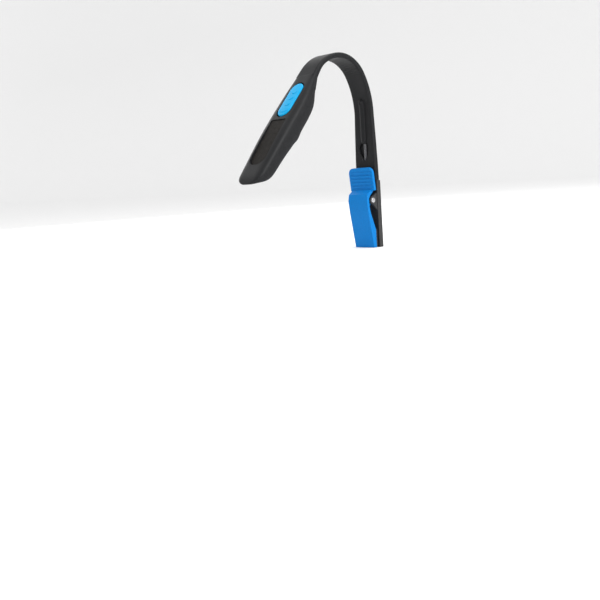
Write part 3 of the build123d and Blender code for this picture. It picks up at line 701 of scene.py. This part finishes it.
def inlay_slab(name, grow, low, high, material=None):
    """The grip panel's outline as a slab: square at the button, round at the tip, and tilted."""
    bm = bmesh.new()
    (start, end), (start_half, end_half) = INLAY_RUN, INLAY_HALF
    outline = [
        (-start_half - grow, start - grow), (start_half + grow, start - grow),
        (end_half + grow, end + grow), (-end_half - grow, end + grow),
    ]
    bm.faces.new([bm.verts.new((x, 0, u - start)) for x, u in outline])
    far = [vert for vert in bm.verts if vert.co.z > 10]
    bmesh.ops.bevel(bm, geom=far, offset=7.4, segments=12, profile=0.5, affect="VERTICES", material=-1)
    near = [vert for vert in bm.verts if vert.co.z < 10 and vert.co.z < 1]
    bmesh.ops.bevel(bm, geom=near, offset=1.2, segments=4, profile=0.5, affect="VERTICES", material=-1)
    bmesh.ops.translate(bm, verts=bm.verts, vec=(0, low, 0))
    rise = bmesh.ops.extrude_face_region(bm, geom=list(bm.faces))
    bmesh.ops.translate(bm, verts=verts_of(rise["geom"]), vec=(0, high - low, 0))
    tilt = math.atan2(INLAY_TOP[0] - INLAY_TOP[1], end - start)
    bmesh.ops.rotate(bm, verts=bm.verts, matrix=Matrix.Rotation(tilt, 3, "X"))
    bmesh.ops.translate(bm, verts=bm.verts, vec=(0, INLAY_TOP[0], start))
    bmesh.ops.recalc_face_normals(bm, faces=bm.faces)
    return finished(bm, name, head_place, material)


shell_plastic = grained(
    "shell_plastic", (0.0105, 0.0108, 0.0118), (0.0125, 0.0128, 0.014), 0.45, 900.0, 0.05, patch=50.0,
    spread=0.03, Specular_IOR_Level=0.16,
)

cavity = head_body("cavity", SHELL_WALL, SHELL_WALL, SHELL_WALL, start=-1.0, end=90.0)
carve(cavity, inlay_slab("panel_bed", 1.3, -INLAY_T - 0.8, 8.0))
top_cover = head_body("top_cover", 0.0, 0.0, 0.0)
top_cover.data.materials.append(shell_plastic)
hollow = cavity.copy()
bpy.context.scene.collection.objects.link(hollow)
carve(top_cover, hollow)
carve(top_cover, below_line("under_cover", 0.0))
window_cut = bmesh.new()
stadium(window_cut, BUTTON_L + 2 * BUTTON_GAP, BUTTON_W + 2 * BUTTON_GAP)
bmesh.ops.translate(window_cut, verts=window_cut.verts, vec=(0, -3.5, BUTTON_RUN))
window_rise = bmesh.ops.extrude_face_region(window_cut, geom=list(window_cut.faces))
bmesh.ops.translate(window_cut, verts=verts_of(window_rise["geom"]), vec=(0, 10, 0))
bmesh.ops.recalc_face_normals(window_cut, faces=window_cut.faces)
carve(top_cover, finished(window_cut, "window_cut", head_place))
carve(top_cover, inlay_slab("panel_pocket", 0.1, -INLAY_T, 8.0))
eased(top_cover, 0.3, segments=3, angle=38)
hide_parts("head_cover")
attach(top_cover, "head")

CELL_RUN = 34.5
WELL_R = 10.3
LENS_RUN = 68.0
DOOR_HINGE_RUN = 23.4
SCREW_SPOTS = [(run, side * off, low) for run, off, low in ((53.6, 9.0, -10.8), (80.2, 6.6, -8.2)) for side in (1, -1)]
lower_shell = head_body("lower_shell", 0.3, 0.0, 0.1)
lower_shell.data.materials.append(shell_plastic)
carve(lower_shell, cavity)
carve(lower_shell, head_block("well_deck", (-12.2, -10.95, 21.5), (12.2, -10.1, 50.0)), "UNION")
carve(lower_shell, head_disc("well_wall", CELL_RUN, 0, -10.5, -4.7, WELL_R + 1.0), "UNION")
carve(lower_shell, head_disc("well_bore", CELL_RUN, 0, -20, 10, WELL_R))
carve(lower_shell, head_block("clip_slot", (-2.7, -20, CELL_RUN + 9), (2.7, 0, CELL_RUN + 10.7)))
carve(lower_shell, head_block("door_gap", (-10.6, -20, 22.5), (10.6, -10.95, 48.2)))
carve(lower_shell, head_block("stub_slot", (-12.0, -12.6, 22.6), (12.0, -11.1, 24.2)))
carve(lower_shell, head_disc("light_bore", LENS_RUN, 0, -20, -2, 8.7))
for run, off, low in SCREW_SPOTS:
    carve(lower_shell, head_disc("screw_bore", run, off, -20, low + 1.4, 1.95, sides=32))
carve(lower_shell, below_line("keep_below", 0.06), "INTERSECT")
eased(lower_shell, 0.2, segments=2, angle=40)
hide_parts("head_base")
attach(lower_shell, "head")


# ---- Grip panel ----
# A thin sheet of matt rubber, brown-black and speckled, glued into the cover's tilted pocket
# so that the thumb finds it by feel.

panel_rubber = grained(
    "panel_rubber", (0.0085, 0.0072, 0.0062), (0.0165, 0.0145, 0.0125), 0.82, 1300.0, 0.35, patch=300.0,
    Specular_IOR_Level=0.25,
)
grip_panel = inlay_slab("grip_panel", 0.0, -INLAY_T + 0.02, 0.0, panel_rubber)
eased(grip_panel, 0.2)
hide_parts("grip_inlay")
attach(grip_panel, "head")


# ---- Power button ----
# One long blue key in gloss ABS, with a soft top edge, three raised crescents for grip and a
# stop ridge near the tip end. Its skirt keeps it in the cover.

button_blue = grained(
    "button_blue", (0.0, 0.32, 0.62), (0.0, 0.345, 0.66), 0.35, 700.0, 0.04, patch=60.0, spread=0.04,
    Specular_IOR_Level=0.16,
)
key = bmesh.new()
stadium(key, BUTTON_L, BUTTON_W, sides=96)
bmesh.ops.translate(key, verts=key.verts, vec=(0, -1.0, BUTTON_RUN))
lift = bmesh.ops.extrude_face_region(key, geom=list(key.faces))
bmesh.ops.translate(key, verts=verts_of(lift["geom"]), vec=(0, BUTTON_TOP + 1.0, 0))
bmesh.ops.recalc_face_normals(key, faces=key.faces)
top_rim = [edge for edge in key.edges if all(vert.co.y > BUTTON_TOP - 0.1 for vert in edge.verts)]
bmesh.ops.bevel(key, geom=top_rim, offset=0.8, segments=6, profile=0.5, affect="EDGES", material=-1)
GRIP_ARCS = [
    (BUTTON_RUN - 5.6, 3.4, 52), (BUTTON_RUN, 3.4, 52), (BUTTON_RUN + 5.6, 3.4, 52), (BUTTON_RUN + 12.0, 5.4, 46),
]
for crest, arc_r, half_angle in GRIP_ARCS:
    arc = bmesh.new()
    bmesh.ops.create_circle(arc, segments=12, radius=0.5)
    bmesh.ops.rotate(arc, verts=arc.verts, matrix=Matrix.Rotation(math.pi / 2, 3, "Y"))
    bmesh.ops.translate(arc, verts=arc.verts, vec=(0, 0, arc_r))
    bmesh.ops.rotate(arc, verts=arc.verts, matrix=Matrix.Rotation(math.radians(-half_angle), 3, "Y"))
    end_face = bmesh.ops.contextual_create(arc, geom=arc.edges)["faces"]
    bmesh.ops.spin(
        arc, geom=end_face, cent=(0, 0, 0), axis=(0, 1, 0), angle=math.radians(2 * half_angle), steps=20,
    )
    bmesh.ops.recalc_face_normals(arc, faces=arc.faces)
    bmesh.ops.scale(arc, vec=(1, 0.8, 1), verts=arc.verts)
    bmesh.ops.translate(arc, verts=arc.verts, vec=(0, BUTTON_TOP - 0.02, crest - arc_r))
    ridge = bpy.data.meshes.new("grip_arc")
    arc.to_mesh(ridge)
    arc.free()
    key.from_mesh(ridge)
power_key = finished(key, "power_key", head_place, button_blue)
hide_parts("power_button")
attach(power_key, "button")


# ---- Battery door ----
# A flap of the same satin black, hinged on two stubs, with a lip for a fingernail.

softened("battery_door", "cell_door", 0.25, shell_plastic, "door")


# ---- Lens, reflector and LED: the light in the underside ----
# One white LED faces down through a silvered cup, and a clear acrylic disc closes the cup
# flush with the shell.

lens_clear = grained(
    "lens_clear", (0.9, 0.92, 0.94), (0.97, 0.98, 0.99), 0.12, 500.0, 0.05, spread=0.04,
    Transmission_Weight=1.0, IOR=1.49,
)
softened("lens", "light_window", 0.25, lens_clear, "head")


def dressed(node, material):
    """Gives a CAD part its finish and leaves its shape alone."""
    part = frame["nodes"][node]
    if not part.material_slots:
        part.data.materials.append(material)
    for place in part.material_slots:
        place.material = material


mirror_coat = grained(
    "silvered_cup", (0.78, 0.78, 0.79), (0.88, 0.88, 0.89), 0.12, 1600.0, 0.04, metallic=1.0, spread=0.04,
)
dressed("reflector", mirror_coat)
led_white = grained(
    "led_phosphor", (0.8, 0.74, 0.42), (0.92, 0.88, 0.6), 0.4, 2500.0, 0.1, Subsurface_Weight=0.2,
    Subsurface_Scale=0.0005,
)
dressed("led", led_white)


# ---- Circuit board and what is on it ----
# A green glass-fibre board screwed under the cover, with the tactile switch that the button
# presses and two chip resistors.

board_green = grained(
    "solder_mask", (0.006, 0.075, 0.028), (0.012, 0.13, 0.05), 0.32, 1200.0, 0.2, patch=400.0,
)
dressed("circuit_board", board_green)
switch_black = grained("switch_body", (0.012, 0.012, 0.013), (0.022, 0.022, 0.024), 0.45, 1500.0, 0.15)
dressed("tact_switch", switch_black)
chip_ceramic = grained("chip_ceramic", (0.02, 0.02, 0.024), (0.04, 0.04, 0.045), 0.3, 3000.0, 0.1)
dressed("resistors", chip_ceramic)


# ---- Cells and contacts ----
# Two steel-cased coin cells lie in the well. A nickel-plated leaf bears on the inner one and
# an upright strip on the outer one's rim.

cell_can = grained(
    "cell_can", (0.55, 0.55, 0.56), (0.72, 0.72, 0.73), 0.28, 900.0, 0.12, metallic=1.0, spread=0.08,
)
dressed("coin_cell_inner", cell_can)
dressed("coin_cell_outer", cell_can)
contact_nickel = grained(
    "contact_nickel", (0.6, 0.54, 0.42), (0.74, 0.68, 0.55), 0.3, 1800.0, 0.1, metallic=1.0,
)
dressed("contact_leaf", contact_nickel)
dressed("contact_rim", contact_nickel)
dressed("core_ferrule", core_steel)


# ---- Shell screws ----
# Four self-tapping screws with cross recesses, sunk in the underside, close the two shells.

screw_zinc = grained(
    "screw_zinc", (0.3, 0.3, 0.31), (0.46, 0.46, 0.47), 0.35, 1600.0, 0.15, metallic=1.0,
)
RECESS_DEPTH = 0.7
RECESS_REACH = 1.1
RECESS_HALF = 0.22
shell_screws = softened("head_screws", "shell_screws", 0.2, screw_zinc, "head")
for run, off, low in SCREW_SPOTS:
    for wide, long in ((RECESS_REACH, RECESS_HALF), (RECESS_HALF, RECESS_REACH)):
        near = (off - wide, low - 5, run - long)
        far = (off + wide, low + RECESS_DEPTH, run + long)
        carve(shell_screws, head_block("cross_bit", near, far))
